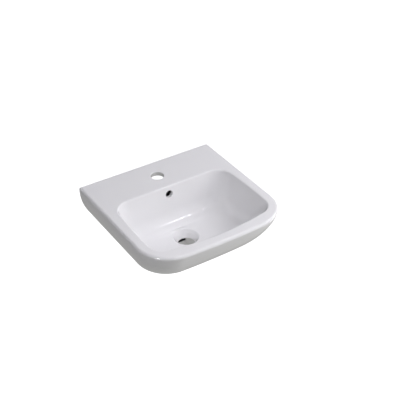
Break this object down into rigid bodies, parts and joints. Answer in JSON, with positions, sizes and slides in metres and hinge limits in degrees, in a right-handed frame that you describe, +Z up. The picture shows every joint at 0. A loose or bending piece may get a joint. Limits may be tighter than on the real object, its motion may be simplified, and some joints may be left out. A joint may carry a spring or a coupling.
{
  "type": "wall hung basin",
  "caption": "Small wall hung wash basin of white glazed ceramic: flat tap deck, deep bowl with overflow, round outlet and curved apron, with its wall fixings.",
  "frame": {"origin": "on the wall plane, midway between the two wall-fixing holes, 70 mm below the flat top", "axes": "+Y into the wall, -Y is the front, +Z up, +X to the right seen from the front"},
  "size_m": [0.4, 0.452, 0.16],
  "materials": {
    "glazed_ceramic": "white sanitary glaze, high gloss, slightly uneven like real glaze",
    "zinc_steel": "bright zinc plating with fine turning marks",
    "white_nylon": "natural white moulded nylon, satin",
    "grey_nylon": "grey moulded nylon, satin"
  },
  "bodies": {
    "root": {"basin_body": "glazed_ceramic", "left_hanger_bolt": "zinc_steel", "left_wall_plug": "grey_nylon", "left_flanged_bush": "white_nylon", "left_washer": "zinc_steel", "left_hex_nut": "zinc_steel", "right_hanger_bolt": "zinc_steel", "right_wall_plug": "grey_nylon", "right_flanged_bush": "white_nylon", "right_washer": "zinc_steel", "right_hex_nut": "zinc_steel"}
  },
  "joints": []
}
